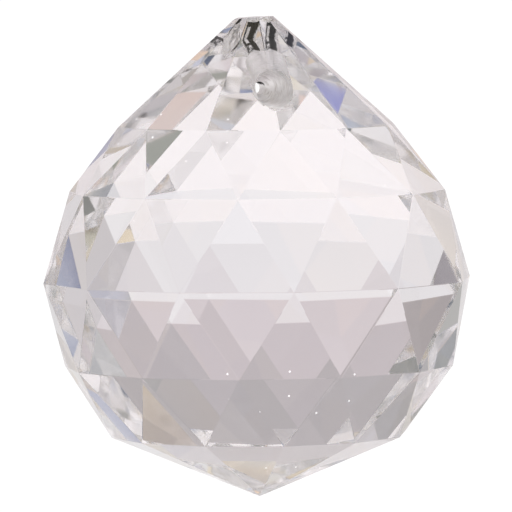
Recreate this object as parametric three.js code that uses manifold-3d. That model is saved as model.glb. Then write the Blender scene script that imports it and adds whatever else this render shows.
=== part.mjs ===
// Crystal suncatcher: one solid faceted ball of clear crystal with a pointed crown and a drilled hanging hole.
// Millimetres, +Z up along the ball's own axis, the wide mouth of the hanging hole towards -Y.
// The origin is the middle of the hanging hole, on the ball's axis, because the ball hangs there.
import * as THREE from "three";
import Module from "manifold-3d";

// The ball's cut: five rings of twelve corners. An offset ring is turned half a step against its neighbours.
const SIDES = 12;
const EQUATOR_R = 20.0; // a 40 mm ball, corner to corner
const HOLE_ABOVE_EQUATOR = 17.7;
const RINGS = [
  { r: 12.9, above: 14.3, offset: 0 }, // foot of the crown
  { r: 17.45, above: 8.25, offset: 0.5 },
  { r: EQUATOR_R, above: 0, offset: 0 },
  { r: 18.05, above: -7.95, offset: 0.5 },
  { r: 13.8, above: -14.35, offset: 0 }, // foot of the bottom point
];
const BOTTOM_POINT = -20.1; // below the equator
const CROWN_POINT = 25.9; // where the twelve crown facets would meet

// The top of the crown is ground off nearly level, and its -X shoulder is chipped.
const TIP_ABOVE = 24.3;
const TIP_TILT = 2.5; // degrees, higher towards +X
const SHOULDER_X = -1.4; // where the chip crosses the ground tip
const SHOULDER_TILT = 20; // degrees, falling towards -X

// The hanging hole: drilled wide from the front, then a narrow hole breaks out at the back.
const HOLE_SIDES = 20;
const HOLE_OFFSET = 0.75; // the hole passes the ball's axis on the +X side
const HOLE_SKEW = 2.9; // degrees, the back end towards +X
const HOLE_FALL = 1.6; // degrees, the back end lower
const MOUTH_R = 1.95; // at MOUTH_Y, outside the crown
const MOUTH_Y = -13;
const INNER_R = 1.3; // where the wide part ends
const INNER_Y = 1.5;
const POINT_Y = 3.6; // the drill's cone ends here in the narrow hole
const NARROW_R = 0.6;
const BACK_Y = 13; // outside the crown

const wasm = await Module();
wasm.setup();

// A three.js geometry as a manifold solid, its shared corners merged.
function solid(geometry) {
  const source = geometry.index ? geometry.toNonIndexed() : geometry;
  const corners = new wasm.Mesh({
    numProp: 3,
    vertProperties: Float32Array.from(source.getAttribute("position").array),
    triVerts: Uint32Array.from({ length: source.getAttribute("position").count }, (_, i) => i),
  });
  corners.merge();
  return new wasm.Manifold(corners);
}

// A manifold solid as a three.js geometry.
function geometryOf(made) {
  const mesh = made.getMesh();
  const flat = new Float32Array(mesh.numVert * 3);
  for (let i = 0; i < mesh.numVert; i++) {
    flat.set(mesh.vertProperties.subarray(i * mesh.numProp, i * mesh.numProp + 3), i * 3);
  }
  const geometry = new THREE.BufferGeometry();
  geometry.setAttribute("position", new THREE.BufferAttribute(flat, 3));
  geometry.setIndex(new THREE.BufferAttribute(Uint32Array.from(mesh.triVerts), 1));
  return geometry.toNonIndexed();
}

// Corner k of a ring. Corner 0 of a ring with no offset faces -Y.
function corner(ring, k) {
  const turn = ((k + ring.offset) * 2 * Math.PI) / SIDES;
  const height = ring.above - HOLE_ABOVE_EQUATOR;
  return new THREE.Vector3(ring.r * Math.sin(turn), -ring.r * Math.cos(turn), height);
}

// One band of triangles between two rings that are turned half a step against each other.
function band(upper, lower, faces) {
  for (let k = 0; k < SIDES; k++) {
    if (lower.offset > upper.offset) {
      faces.push([corner(upper, k), corner(lower, k), corner(upper, k + 1)]);
      faces.push([corner(lower, k), corner(lower, k + 1), corner(upper, k + 1)]);
    } else {
      faces.push([corner(upper, k), corner(lower, k), corner(lower, k + 1)]);
      faces.push([corner(upper, k), corner(lower, k + 1), corner(upper, k + 1)]);
    }
  }
}

// The twelve facets that close the ball in a point at the top or at the bottom.
function point(ring, above, faces) {
  const end = new THREE.Vector3(0, 0, above - HOLE_ABOVE_EQUATOR);
  for (let k = 0; k < SIDES; k++) {
    const [a, b] = [corner(ring, k), corner(ring, k + 1)];
    faces.push(above > ring.above ? [end, a, b] : [end, b, a]);
  }
}

// The whole cut ball with its crown still pointed.
function ball() {
  const faces = [];
  point(RINGS[0], CROWN_POINT, faces);
  for (let i = 0; i + 1 < RINGS.length; i++) band(RINGS[i], RINGS[i + 1], faces);
  point(RINGS[RINGS.length - 1], BOTTOM_POINT, faces);
  return solid(new THREE.BufferGeometry().setFromPoints(faces.flat()));
}

// A block whose underside passes through (x, 0, z), tilted about Y. It takes away all that is above it.
function grinder(x, z, tilt) {
  const block = new THREE.BoxGeometry(30, 30, 6);
  block.translate(0, 0, 3);
  block.rotateY(-THREE.MathUtils.degToRad(tilt));
  block.translate(x, 0, z);
  return solid(block);
}

// The drill's path as a lathed profile along Y: wide mouth, cone of the drill's point, narrow hole.
function drill() {
  const profile = [
    [0, MOUTH_Y],
    [MOUTH_R, MOUTH_Y],
    [INNER_R, INNER_Y],
    [NARROW_R, POINT_Y],
    [NARROW_R, BACK_Y],
    [0, BACK_Y],
  ].map(([r, y]) => new THREE.Vector2(r, y));
  const turned = new THREE.LatheGeometry(profile, HOLE_SIDES);
  turned.rotateZ(-THREE.MathUtils.degToRad(HOLE_SKEW));
  turned.rotateX(-THREE.MathUtils.degToRad(HOLE_FALL));
  turned.translate(HOLE_OFFSET, 0, 0);
  return solid(turned);
}

// The finished crystal: the ball less its ground tip, the shoulder chip and the hanging hole.
function crystal() {
  const tipZ = TIP_ABOVE - HOLE_ABOVE_EQUATOR;
  const shoulderZ = tipZ + SHOULDER_X * Math.tan(THREE.MathUtils.degToRad(TIP_TILT));
  const cut = ball()
    .subtract(grinder(0, tipZ, TIP_TILT))
    .subtract(grinder(SHOULDER_X, shoulderZ, SHOULDER_TILT))
    .subtract(drill());
  const clear = new THREE.MeshStandardMaterial({ color: 0xf4f2f6, roughness: 0.02, metalness: 0 });
  const mesh = new THREE.Mesh(geometryOf(cut), clear);
  mesh.name = "crystal";
  return mesh;
}

const suncatcher = new THREE.Group();
suncatcher.name = "crystal_suncatcher";
suncatcher.add(crystal());

export default suncatcher;
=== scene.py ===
"""The crystal suncatcher's looks: one cut ball of clear lead crystal, hung by the hole in its crown."""

import math

import bmesh
import bpy
from mathutils import Matrix, Vector, noise


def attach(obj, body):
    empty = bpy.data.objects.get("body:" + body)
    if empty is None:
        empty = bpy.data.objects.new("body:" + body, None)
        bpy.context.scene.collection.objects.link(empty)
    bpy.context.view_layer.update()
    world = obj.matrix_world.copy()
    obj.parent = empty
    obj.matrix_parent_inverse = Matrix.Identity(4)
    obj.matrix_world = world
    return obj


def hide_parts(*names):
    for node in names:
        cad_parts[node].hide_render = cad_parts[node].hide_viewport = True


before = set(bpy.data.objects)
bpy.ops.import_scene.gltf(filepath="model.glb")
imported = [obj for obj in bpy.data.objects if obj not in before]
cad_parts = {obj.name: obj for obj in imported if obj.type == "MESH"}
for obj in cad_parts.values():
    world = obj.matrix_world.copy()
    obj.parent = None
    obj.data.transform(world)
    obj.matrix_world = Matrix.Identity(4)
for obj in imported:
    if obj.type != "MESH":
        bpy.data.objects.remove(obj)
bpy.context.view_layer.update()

MM = 0.001

# The cut, in millimetres above the ball's own equator, as the solid has it.
SIDES = 12
HOLE_ABOVE_EQUATOR = 17.7
RINGS = (  # radius, height, turned by half a side
    (12.9, 14.3, False),
    (17.45, 8.25, True),
    (20.0, 0.0, False),
    (18.05, -7.95, True),
    (13.8, -14.35, False),
)
CROWN_POINT = 25.9
BOTTOM_POINT = -20.1
TIP_ABOVE = 24.3
TIP_TILT = math.radians(2.5)
SHOULDER_X, SHOULDER_TILT = -1.4, math.radians(20)
EDGE = 0.03  # how far the polishing wheel has broken each edge

# The hanging hole, along Y, in millimetres: its radius at each depth.
NARROW_FROM = 3.6
HOLE_PROFILE = ((1.95, -13.0), (1.3, 1.5), (0.6, NARROW_FROM), (0.6, 13.0))
HOLE_OFFSET = 0.75
HOLE_SKEW = math.radians(2.9)
HOLE_FALL = math.radians(1.6)
HOLE_SIDES = 64
WALL_STEP = 0.35  # from one row of the wall's faces to the next
WALL_WAVES = 0.06  # how far the ground wall is out of true

# Painted shade, black on the top of the narrow end: its middle line (mm), then where it lies along the wall
# (m) and round it (radians from the top), with a strip left clear as a painted highlight and the place only
#     in flecks.
PAINTED_SHADE_X, PAINTED_SHADE_Z = 1.1, -0.18
PAINTED_SHADE_DEPTH, PAINTED_SHADE_TURN = (0.0037, 0.0098), (-1.35, 0.85)
PAINTED_HIGHLIGHT_DEPTH, PAINTED_HIGHLIGHT_TURN = (0.0069, 0.0094), (-0.82, -0.25)
FLECKED_DEPTH, FLECKED_TURN = (0.0036, 0.0062), (-1.6, -0.35)

# The finishes of the ball's faces, in the order of its materials.
# The third finish carries black painted shade and a painted highlight in the narrow end of the hole.
POLISHED, GROUND, SHADE_PAINTED, CHIPPED, BUBBLE = range(5)

# Chips broken out of the surface, in millimetres: from one end to the other, half as wide as given.
CHIPS = (
    ((-1.8, -1.5, 6.1), (-3.6, -4.1, 3.2), 0.75, CHIPPED),  # down the crown, left of the ground tip
    ((-0.5, -10.1, -1.5), (1.9, -10.0, -1.25), 0.55, CHIPPED),  # lower rim of the mouth
    ((-1.75, -8.1, 0.6), (-0.95, -10.3, -1.25), 0.3, GROUND),  # left rim of the mouth
    ((0.9, -10.0, -0.9), (1.5, -9.9, -1.4), 0.4, CHIPPED),  # right end of the lower rim
    ((-1.3, -1.7, 6.5), (0.15, -2.0, 6.45), 0.38, GROUND),  # front rim of the ground tip
    ((0.3, -2.0, 6.45), (1.6, -1.4, 6.5), 0.4, GROUND),
    ((-1.2, -0.6, 6.75), (1.3, 0.5, 6.8), 0.3, GROUND),  # across the ground tip
    ((0.8, 9.2, -0.6), (1.9, 9.1, -0.2), 0.55, CHIPPED),  # where the drill broke out at the back
)

# One pinpoint bubble, in millimetres.
BUBBLE_PLACE, BUBBLE_R = (3.27, 12.96, -22.88), 0.09

# Lead crystal.
GLASS_INDEX = 1.545
POLISH = 0.03  # the roughness that the wheel leaves

# The studio's floor and lamp, in metres and watts.
FLOOR_BELOW, FLOOR_RADIUS = 0.6, 1.8
LAMP_PLACE, LAMP_SIZE, LAMP_WATTS = (0.0, 1.0, 2.0), 1.6, 52.0

# The light from all round, by the height of its direction (-1 is straight down): its level and its warmth.
SWEEP = (  # away from the camera
    (-1.0, 0.85, 0.04),
    (-0.42, 0.97, 0.03),
    (-0.26, 0.93, 0.03),
    (-0.1, 0.85, 0.04),
    (0.0, 0.77, 0.07),
    (0.1, 0.68, 0.12),
    (0.2, 0.58, 0.13),
    (0.3, 0.5, 0.11),
    (0.38, 0.43, 0.08),
    (0.5, 0.45, 0.09),
    (0.64, 0.51, 0.1),
    (0.8, 0.55, 0.1),
    (1.0, 0.72, 0.06),
)
ROOM = (  # to the sides and behind the camera
    (-1.0, 0.8, 0.03),
    (-0.42, 0.76, 0.02),
    (-0.1, 0.62, 0.0),
    (0.2, 0.53, -0.02),
    (0.45, 0.56, -0.03),
    (0.7, 0.66, -0.02),
    (0.85, 0.66, 0.0),
    (1.0, 0.76, 0.02),
)
SWEEP_STARTS, SWEEP_FULL = 0.2, 0.9  # how far a direction points along +Y
BACKDROP = 1.05  # the plain white that the camera sees

# Soft patches of tone round the room, placed for the rim facets to pick up: turned from +Y towards +X,
# lifted, and how far each reaches (degrees), with its tone.
PATCHES = (
    (-34.0, 13.0, 17.0, "#B2AAAA"),
    (-48.0, 0.0, 12.0, "#A6A6A2"),
    (-36.0, 28.0, 9.0, "#9C9898"),
    (-46.0, 23.0, 6.5, "#EADBC2"),
    (-141.0, 21.0, 18.0, "#7E807C"),
    (-156.0, 4.0, 9.0, "#F2CDAA"),
    (-150.0, 46.0, 11.0, "#E6CFC6"),
    (-162.0, 37.0, 10.0, "#9A9C94"),
    (170.0, 31.0, 13.0, "#4A5A70"),
    (-119.0, 32.0, 13.0, "#4C4E4C"),
    (180.0, 60.0, 9.0, "#8A90D8"),
    (141.0, -12.0, 25.0, "#A09A9E"),
    (50.0, 2.0, 14.0, "#CDC8C9"),
    (-150.0, -11.0, 8.0, "#F6F2F3"),
)
# Lead glass spreads white light, so that dark edges show with an amber and a blue side. The rendered glass
# does not, so the room's own light carries such tints, by the level of a soft cloud pattern.
FRINGE_SCALE = 5.0
FRINGE_SEED = 7.2
FRINGES = (
    (0.36, "#FFFFFF"),
    (0.43, "#FFF6E2"),
    (0.452, "#FBE0AE"),
    (0.472, "#DBC4AE"),
    (0.50, "#ABB0A8"),
    (0.53, "#8E9794"),
    (0.547, "#5A6A80"),
    (0.56, "#8496CC"),
    (0.59, "#E4EAFF"),
    (0.64, "#FFFFFF"),
)

# The camera: a long lens, nearly level, a little to the front's left. Degrees, metres, millimetres of lens.
CAMERA_TURN, CAMERA_LIFT, CAMERA_ROLL = -9.4, 3.28, 0.54
CAMERA_DISTANCE = 0.6275
CAMERA_LENS, SENSOR_WIDTH = 477.0, 36.0
CAMERA_LEFT, CAMERA_UP = 0.1545, 2.1924  # millimetres off the ball's middle


# ---------------------------------------------------------------- materials
def linear(code):
    """An sRGB hex colour as the linear RGBA that Blender wants."""
    parts = [int(code[i : i + 2], 16) / 255 for i in (1, 3, 5)]
    return (*[c / 12.92 if c <= 0.04045 else ((c + 0.055) / 1.055) ** 2.4 for c in parts], 1.0)


def add(tree, kind, settings=(), links=(), stops=()):
    """One node of that kind: its settings and socket values, what feeds its sockets, and its colour stops."""
    node = tree.nodes.new("ShaderNode" + kind)
    for name, value in dict(settings).items():
        if isinstance(name, str) and hasattr(node, name):
            setattr(node, name, value)
        else:
            node.inputs[name].default_value = value
    for name, source in dict(links).items():
        tree.links.new(source, node.inputs[name])
    if stops:
        marks = node.color_ramp.elements
        for mark, (at, colour) in zip(marks, (stops[0], stops[-1])):
            mark.position, mark.color = at, colour
        for at, colour in stops[1:-1]:
            marks.new(at).color = colour
    return node


def new_material(name):
    """An empty node material and its tree."""
    made = bpy.data.materials.new(name)
    made.use_nodes = True
    made.node_tree.nodes.clear()
    return made, made.node_tree


def polished_crystal():
    """Lead crystal, sawn and polished on a wheel: clear, with a faint waviness left in each facet."""
    made, tree = new_material("polished_lead_crystal")
    place = add(tree, "TexCoord").outputs["Object"]
    wave = add(tree, "TexNoise", {"Scale": 95.0, "Detail": 0.0}, {"Vector": place})
    bump = add(tree, "Bump", {"Strength": 1.0, "Distance": 0.00005}, {"Height": wave.outputs["Fac"]})
    clear = {
        "Base Color": linear("#FCFBFD"),
        "Roughness": POLISH,
        "IOR": GLASS_INDEX,
        "Transmission Weight": 1.0,
    }
    glass = add(tree, "BsdfPrincipled", clear, {"Normal": bump.outputs[0]})
    add(tree, "OutputMaterial", links={"Surface": glass.outputs[0]})
    return made


def ground_crystal():
    """The same glass where a diamond drill ground it: frosted, with the fine rings that the drill leaves.

    The rings are drawn 0.4 mm apart and broken up, coarse enough to show."""
    made, tree = new_material("drill_ground_crystal")
    place = add(tree, "TexCoord").outputs["Object"]
    grit = add(tree, "TexNoise", {"Scale": 4200.0, "Detail": 4.0}, {"Vector": place})
    bump = add(tree, "Bump", {"Strength": 1.0, "Distance": 0.00012}, {"Height": grit.outputs["Fac"]})
    drawn = add(tree, "VectorMath", {"operation": "MULTIPLY", 1: (1300.0, 2600.0, 1300.0)}, {0: place})
    rings = add(tree, "TexNoise", {"Scale": 1.0, "Detail": 3.0}, {"Vector": drawn.outputs[0]})
    frost = ((0.41, linear("#C6C3BE")), (0.50, linear("#FFFFFD")))
    tones = add(tree, "ValToRGB", links={"Fac": rings.outputs["Fac"]}, stops=frost)
    ground = {"Roughness": 0.3, "IOR": GLASS_INDEX, "Transmission Weight": 1.0}
    glass = add(
        tree, "BsdfPrincipled", ground, {"Base Color": tones.outputs[0], "Normal": bump.outputs[0]}
    )
    add(tree, "OutputMaterial", links={"Surface": glass.outputs[0]})
    return made


def shade_painted_crystal():
    """The narrow end of the hole: ground glass, with black painted shade on its top, left clear in a strip
    and in flecks.
    """
    made, tree = new_material("shade_painted_crystal")
    place = add(tree, "TexCoord").outputs["Object"]
    parts = add(tree, "SeparateXYZ", links={0: place})
    grain = add(tree, "TexNoise", {"Scale": 2400.0, "Detail": 3.0}, {"Vector": place}).outputs["Fac"]
    across = add(tree, "Math", {"operation": "SUBTRACT", 1: PAINTED_SHADE_X * MM}, {0: parts.outputs["X"]})
    above = add(tree, "Math", {"operation": "SUBTRACT", 1: PAINTED_SHADE_Z * MM}, {0: parts.outputs["Z"]})
    turn = add(tree, "Math", {"operation": "ARCTAN2"}, {0: across.outputs[0], 1: above.outputs[0]})

    def between(value, low, high, soft):
        """1 between low and high, falling to 0 over the soft width, its edges broken up by the grain."""
        ragged = add(tree, "Math", {"operation": "MULTIPLY_ADD", 1: soft * 9, 2: -soft * 4.5}, {0: grain})
        moved = add(tree, "Math", {"operation": "ADD"}, {0: value, 1: ragged.outputs[0]}).outputs[0]
        up = add(tree, "MapRange", {"From Min": low - soft, "From Max": low + soft}, {"Value": moved})
        down = add(tree, "MapRange", {"From Min": high + soft, "From Max": high - soft}, {"Value": moved})
        return add(tree, "Math", {"operation": "MULTIPLY"}, {0: up.outputs[0], 1: down.outputs[0]})

    def zone(depth, soft_depth, turns, soft_turn):
        """1 on that stretch of the wall."""
        along = between(parts.outputs["Y"], *depth, soft_depth)
        around = between(turn.outputs[0], *turns, soft_turn)
        return add(tree, "Math", {"operation": "MULTIPLY"}, {0: along.outputs[0], 1: around.outputs[0]})

    painted_shade = zone(PAINTED_SHADE_DEPTH, 0.00022, PAINTED_SHADE_TURN, 0.10)
    # The painted highlight: a strip of the wall left clear of the black painted shade.
    painted_highlight = zone(PAINTED_HIGHLIGHT_DEPTH, 0.00012, PAINTED_HIGHLIGHT_TURN, 0.05)
    fleck_zone = zone(FLECKED_DEPTH, 0.0001, FLECKED_TURN, 0.05)
    flakes = add(tree, "TexNoise", {"Scale": 3200.0, "Detail": 2.0}, {"Vector": place})
    broken = add(tree, "MapRange", {"From Min": 0.49, "From Max": 0.53}, {"Value": flakes.outputs["Fac"]})
    flecked = add(tree, "Math", {"operation": "MULTIPLY"}, {0: fleck_zone.outputs[0], 1: broken.outputs[0]})
    left_clear = add(tree, "Math", {"operation": "ADD"}, {0: painted_highlight.outputs[0], 1: flecked.outputs[0]})
    black = add(tree, "Math", {"operation": "SUBTRACT"}, {0: painted_shade.outputs[0], 1: left_clear.outputs[0]})
    cover = add(tree, "Clamp", links={0: black.outputs[0]})
    ground = {
        "Base Color": linear("#FBFAF8"),
        "Roughness": 0.35,
        "IOR": GLASS_INDEX,
        "Transmission Weight": 1.0,
    }
    # The black coat is painted shade.
    shade_paint = {"Base Color": linear("#040404"), "Roughness": 0.6, "Specular IOR Level": 0.05}
    glass = add(tree, "BsdfPrincipled", ground)
    coat = add(tree, "BsdfPrincipled", shade_paint)
    mixed = add(tree, "MixShader", links={0: cover.outputs[0], 1: glass.outputs[0], 2: coat.outputs[0]})
    add(tree, "OutputMaterial", links={"Surface": mixed.outputs[0]})
    return made


def chipped_crystal():
    """A shell-shaped break in the glass: bright and wavy, neither polished nor ground."""
    made, tree = new_material("chipped_crystal")
    place = add(tree, "TexCoord").outputs["Object"]
    ripple = add(tree, "TexNoise", {"Scale": 1500.0, "Detail": 3.0, "Distortion": 1.0}, {"Vector": place})
    bump = add(tree, "Bump", {"Strength": 0.6, "Distance": 0.0002}, {"Height": ripple.outputs["Fac"]})
    shell = {
        "Base Color": linear("#FCFBFA"),
        "Roughness": 0.3,
        "IOR": GLASS_INDEX,
        "Transmission Weight": 1.0,
    }
    glass = add(tree, "BsdfPrincipled", shell, {"Normal": bump.outputs[0]})
    add(tree, "OutputMaterial", links={"Surface": glass.outputs[0]})
    return made


def bubble_wall_painted_glint():
    """The bubble's wall, a painted glint: a white glow of its own stands in for the glint of total
    reflection.
    """
    made, tree = new_material("bubble_wall_painted_glint")
    place = add(tree, "TexCoord").outputs["Object"]
    cloud = add(tree, "TexNoise", {"Scale": 9000.0}, {"Vector": place})
    silver = ((0.0, linear("#F4F4F4")), (1.0, linear("#FFFFFF")))
    whites = add(tree, "ValToRGB", links={"Fac": cloud.outputs["Fac"]}, stops=silver)
    # Painted glint: the white emission makes the bubble glow though it is no lamp.
    glint = {"Roughness": 0.3, "Metallic": 1.0, "Emission Color": linear("#FFFFFF"), "Emission Strength": 1.0}
    skin = add(tree, "BsdfPrincipled", glint, {"Base Color": whites.outputs[0]})
    add(tree, "OutputMaterial", links={"Surface": skin.outputs[0]})
    return made


# ---------------------------------------------------------------- the crystal
def ring_corners(bm, radius, above, half):
    """Twelve loose corners of one ring, corner 0 facing -Y."""
    turn = Matrix.Rotation(math.pi / SIDES if half else 0.0, 4, "Z")
    place = Matrix.Translation((0, 0, (above - HOLE_ABOVE_EQUATOR) * MM)) @ turn
    bmesh.ops.create_circle(bm, segments=SIDES, radius=radius * MM, matrix=place)


def grind(bm, x, above, tilt):
    """Grinds off all above a plane through (x, 0, above) that rises towards +X, and closes the ball again."""
    bmesh.ops.bisect_plane(
        bm,
        geom=bm.verts[:] + bm.edges[:] + bm.faces[:],
        plane_co=(x * MM, 0, above * MM),
        plane_no=(-math.sin(tilt), 0, math.cos(tilt)),
        clear_outer=True,
    )
    bmesh.ops.holes_fill(bm, edges=[e for e in bm.edges if e.is_boundary], sides=0)


def ball_mesh():
    """The cut ball with its edges broken and the tip of its crown ground off."""
    bm = bmesh.new()
    for radius, above, half in RINGS:
        ring_corners(bm, radius, above, half)
    for above in (CROWN_POINT, BOTTOM_POINT):
        bm.verts.new((0, 0, (above - HOLE_ABOVE_EQUATOR) * MM))
    bmesh.ops.convex_hull(bm, input=bm.verts[:])
    bmesh.ops.recalc_face_normals(bm, faces=bm.faces[:])
    bmesh.ops.bevel(
        bm, geom=bm.edges[:], offset=EDGE * MM, affect="EDGES", segments=1, profile=0.5, material=-1
    )
    tip = TIP_ABOVE - HOLE_ABOVE_EQUATOR
    grind(bm, 0, tip, TIP_TILT)
    grind(bm, SHOULDER_X, tip + SHOULDER_X * math.tan(TIP_TILT), SHOULDER_TILT)
    bmesh.ops.recalc_face_normals(bm, faces=bm.faces[:])
    return bm


def hole_mesh():
    """The drill's path: a profile spun round Y, its wide part ground, its narrow end given the painted shade.
    """
    steps = [(0.0, HOLE_PROFILE[0][1]), HOLE_PROFILE[0]]
    for (r0, y0), (r1, y1) in zip(HOLE_PROFILE, HOLE_PROFILE[1:]):
        rows = max(1, round(abs(y1 - y0) / WALL_STEP))
        steps += [(r0 + (r1 - r0) * i / rows, y0 + (y1 - y0) * i / rows) for i in range(1, rows + 1)]
    steps.append((0.0, HOLE_PROFILE[-1][1]))
    bm = bmesh.new()
    line = [bm.verts.new((r * MM, y * MM, 0)) for r, y in steps]
    edges = [bm.edges.new(pair) for pair in zip(line, line[1:])]
    bmesh.ops.spin(
        bm,
        geom=line + edges,
        cent=(0, 0, 0),
        axis=(0, 1, 0),
        angle=math.tau,
        steps=HOLE_SIDES,
        use_merge=True,
    )
    bmesh.ops.remove_doubles(bm, verts=bm.verts[:], dist=1e-7)
    bmesh.ops.recalc_face_normals(bm, faces=bm.faces[:])
    for v in bm.verts:  # the ground wall is never quite true
        out = Vector((v.co.x, 0, v.co.z))
        if out.length > 1e-6:
            waves = Vector((v.co.x * 1100, v.co.y * 500, v.co.z * 1100))
            v.co += out.normalized() * noise.noise(waves) * WALL_WAVES * MM
    for f in bm.faces:
        f.smooth = True
        # The narrow end takes the finish with the painted shade.
        f.material_index = SHADE_PAINTED if f.calc_center_median().y > NARROW_FROM * MM else GROUND
    turn = Matrix.Translation((HOLE_OFFSET * MM, 0, 0))
    turn = turn @ Matrix.Rotation(-HOLE_FALL, 4, "X") @ Matrix.Rotation(-HOLE_SKEW, 4, "Z")
    bmesh.ops.transform(bm, matrix=turn, verts=bm.verts[:])
    return bm


def chip_mesh(start, end, half_width, finish):
    """The glass that one chip takes away: a lumpy ball drawn out from start to end."""
    start, end = Vector(start), Vector(end)
    bm = bmesh.new()
    bmesh.ops.create_icosphere(bm, subdivisions=4, radius=1.0)
    for v in bm.verts:
        v.co *= 1 + 0.3 * noise.noise(v.co * 1.8 + start) + 0.1 * noise.noise(v.co * 5.0 + end)
    for f in bm.faces:
        f.material_index = finish
    along = end - start
    place = Matrix.Translation((start + end) / 2 * MM) @ along.to_track_quat("Z", "Y").to_matrix().to_4x4()
    place = place @ Matrix.Diagonal((half_width * MM, half_width * MM, along.length / 2 * MM, 1.0))
    bmesh.ops.transform(bm, matrix=place, verts=bm.verts[:])
    return bm


def bubble_mesh():
    """One pinpoint bubble sealed in the glass, which the facets show many times over."""
    bm = bmesh.new()
    place = Matrix.Translation(Vector(BUBBLE_PLACE) * MM)
    bmesh.ops.create_icosphere(bm, subdivisions=2, radius=BUBBLE_R * MM, matrix=place)
    for f in bm.faces:
        f.material_index = BUBBLE
    return bm


def as_object(bm, name, materials):
    """The mesh as an object at the origin, with those materials."""
    mesh = bpy.data.meshes.new(name)
    bm.to_mesh(mesh)
    bm.free()
    for m in materials:
        mesh.materials.append(m)
    made = bpy.data.objects.new(name, mesh)
    bpy.context.scene.collection.objects.link(made)
    return made


def cut_away(solid, tool):
    """Takes the tool's shape out of the solid, for good, and removes the tool."""
    cut = solid.modifiers.new("cut", "BOOLEAN")
    cut.object, cut.operation, cut.solver = tool, "DIFFERENCE", "EXACT"
    bpy.context.view_layer.update()
    shown = solid.evaluated_get(bpy.context.evaluated_depsgraph_get())
    mesh = bpy.data.meshes.new_from_object(shown)
    solid.modifiers.clear()
    solid.data = mesh
    bpy.data.objects.remove(tool)


def make_crystal():
    """The whole crystal: the cut ball less its hole and chips, with the bubble sealed in it."""
    finishes = [
        polished_crystal(),
        ground_crystal(),
        shade_painted_crystal(),
        chipped_crystal(),
        bubble_wall_painted_glint(),
    ]
    ball = as_object(ball_mesh(), "cut_crystal_ball", finishes)
    cut_away(ball, as_object(hole_mesh(), "hole", finishes))
    for chip in CHIPS:
        cut_away(ball, as_object(chip_mesh(*chip), "chip", finishes))
    cut_away(ball, as_object(bubble_mesh(), "bubble", finishes))
    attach(ball, "root")
    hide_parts("crystal")


# ---------------------------------------------------------------- studio
def make_floor():
    """A plain pale floor of matt white paper, an arm's length below the hanging ball."""
    bm = bmesh.new()
    down = Matrix.Translation((0, 0, -FLOOR_BELOW))
    bmesh.ops.create_circle(bm, cap_ends=True, segments=64, radius=FLOOR_RADIUS, matrix=down)
    made, tree = new_material("matt_white_paper")
    place = add(tree, "TexCoord").outputs["Object"]
    tooth = add(tree, "TexNoise", {"Scale": 900.0}, {"Vector": place})
    bump = add(tree, "Bump", {"Strength": 0.1, "Distance": 0.0001}, {"Height": tooth.outputs["Fac"]})
    matt = {"Base Color": linear("#F6F3F4"), "Roughness": 0.9}
    paper = add(tree, "BsdfPrincipled", matt, {"Normal": bump.outputs[0]})
    add(tree, "OutputMaterial", links={"Surface": paper.outputs[0]})
    as_object(bm, "floor", [made])


def make_lamp():
    """One soft lamp above the far side of the floor. It lights the paper, and does not show in the facets."""
    light = bpy.data.lights.new("soft_lamp", "AREA")
    light.shape, light.size, light.energy = "SQUARE", LAMP_SIZE, LAMP_WATTS
    lamp = bpy.data.objects.new("soft_lamp", light)
    lamp.location = LAMP_PLACE
    lamp.visible_camera = lamp.visible_glossy = lamp.visible_transmission = False
    bpy.context.scene.collection.objects.link(lamp)


def by_height(tree, height, levels):
    """The light of each direction by its height, from -1 to 1, turned towards pink by its warmth."""
    scaled = add(tree, "MapRange", {"From Min": -1.0, "From Max": 1.0}, {"Value": height})
    stops = [
        ((at + 1) / 2, (light * (1 + warmth / 2), light * (1 - warmth / 3), light * (1 - warmth / 6), 1.0))
        for at, light, warmth in levels
    ]
    return add(tree, "ValToRGB", links={"Fac": scaled.outputs[0]}, stops=stops).outputs[0]


def fringed(tree, direction, room):
    """The room multiplied by the coloured fringes that lead glass would draw round its dark edges."""
    pattern = {"noise_dimensions": "4D", "W": FRINGE_SEED, "Scale": FRINGE_SCALE, "Detail": 1.0}
    cloud = add(tree, "TexNoise", pattern, {"Vector": direction})
    stops = [(at, linear(code)) for at, code in FRINGES]
    tints = add(tree, "ValToRGB", links={"Fac": cloud.outputs["Fac"]}, stops=stops)
    times = {"data_type": "RGBA", "blend_type": "MULTIPLY", 0: 1.0}
    return add(tree, "Mix", times, {6: room, 7: tints.outputs[0]}).outputs[2]


def patched(tree, direction, around):
    """The surroundings with the softly edged patches laid over them."""
    for turn, lift, reach, code in PATCHES:
        turn, lift, reach = math.radians(turn), math.radians(lift), math.radians(reach)
        toward = (math.sin(turn) * math.cos(lift), math.cos(turn) * math.cos(lift), math.sin(lift))
        near = add(tree, "VectorMath", {"operation": "DOT_PRODUCT", 1: toward}, {0: direction})
        rim, core = math.cos(reach), math.cos(reach / 2)
        edge = {"interpolation_type": "SMOOTHSTEP", "From Min": rim, "From Max": core}
        inside = add(tree, "MapRange", edge, {"Value": near.outputs["Value"]})
        tone = {"data_type": "RGBA", 7: linear(code)}
        around = add(tree, "Mix", tone, {0: inside.outputs[0], 6: around}).outputs[2]
    return around


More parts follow.
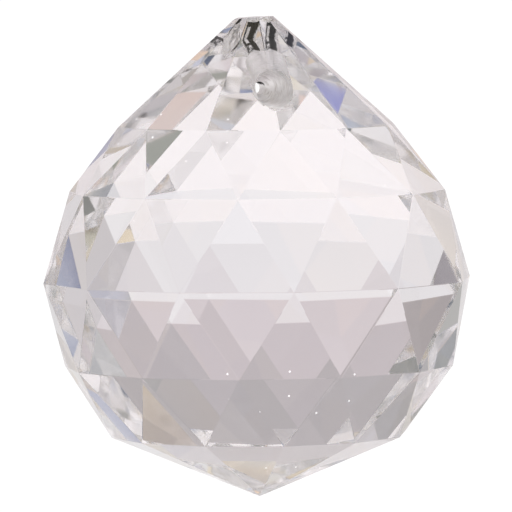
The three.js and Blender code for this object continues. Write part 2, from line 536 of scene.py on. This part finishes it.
def make_surroundings():
    """The studio: a white sweep behind and below the ball, a dimmer room above it and behind the camera."""
    world = bpy.data.worlds.new("studio")
    bpy.context.scene.world = world
    world.use_nodes = True
    tree = world.node_tree
    tree.nodes.clear()
    direction = add(tree, "TexCoord").outputs["Generated"]
    parts = add(tree, "SeparateXYZ", links={0: direction})
    sweep = by_height(tree, parts.outputs["Z"], SWEEP)
    room = fringed(tree, direction, by_height(tree, parts.outputs["Z"], ROOM))
    reach = {"interpolation_type": "SMOOTHSTEP", "From Min": SWEEP_STARTS, "From Max": SWEEP_FULL}
    ahead = add(tree, "MapRange", reach, {"Value": parts.outputs["Y"]})
    around = add(tree, "Mix", {"data_type": "RGBA"}, {0: ahead.outputs[0], 6: room, 7: sweep}).outputs[2]
    seen = add(tree, "LightPath").outputs["Is Camera Ray"]
    white = {"data_type": "RGBA", 7: (BACKDROP, BACKDROP, BACKDROP, 1.0)}
    back = add(tree, "Mix", white, {0: seen, 6: patched(tree, direction, around)})
    glow = add(tree, "Background", links={"Color": back.outputs[2]})
    add(tree, "OutputWorld", links={"Surface": glow.outputs[0]})


def make_camera():
    """The camera, aimed a little above and to the left of the ball's middle."""
    az, el, roll = (math.radians(angle) for angle in (CAMERA_TURN, CAMERA_LIFT, CAMERA_ROLL))
    back = Vector((math.sin(az) * math.cos(el), -math.cos(az) * math.cos(el), math.sin(el)))
    right = Vector((math.cos(az), math.sin(az), 0))
    up = back.cross(right)
    across = right * math.cos(roll) - up * math.sin(roll)
    upward = right * math.sin(roll) + up * math.cos(roll)
    lens = bpy.data.cameras.new("camera")
    lens.lens, lens.sensor_width = CAMERA_LENS, SENSOR_WIDTH
    lens.clip_start, lens.clip_end = 0.01, 20.0
    camera = bpy.data.objects.new("camera", lens)
    bpy.context.scene.collection.objects.link(camera)
    middle = Vector((0, 0, -HOLE_ABOVE_EQUATOR * MM))
    turn = Matrix((across, upward, back)).transposed().to_4x4()
    aim = middle - across * (CAMERA_LEFT * MM) + upward * (CAMERA_UP * MM)
    turn.translation = aim + back * CAMERA_DISTANCE
    camera.matrix_world = turn
    bpy.context.scene.camera = camera


def set_light_paths():
    """Lets light bounce often enough to find its way out of the cut ball, and keeps the colours plain."""
    scene = bpy.context.scene
    scene.view_settings.view_transform = "Standard"
    scene.cycles.max_bounces = 64
    scene.cycles.transmission_bounces = 64
    scene.cycles.glossy_bounces = 64


make_crystal()
make_floor()
make_lamp()
make_surroundings()
make_camera()
set_light_paths()
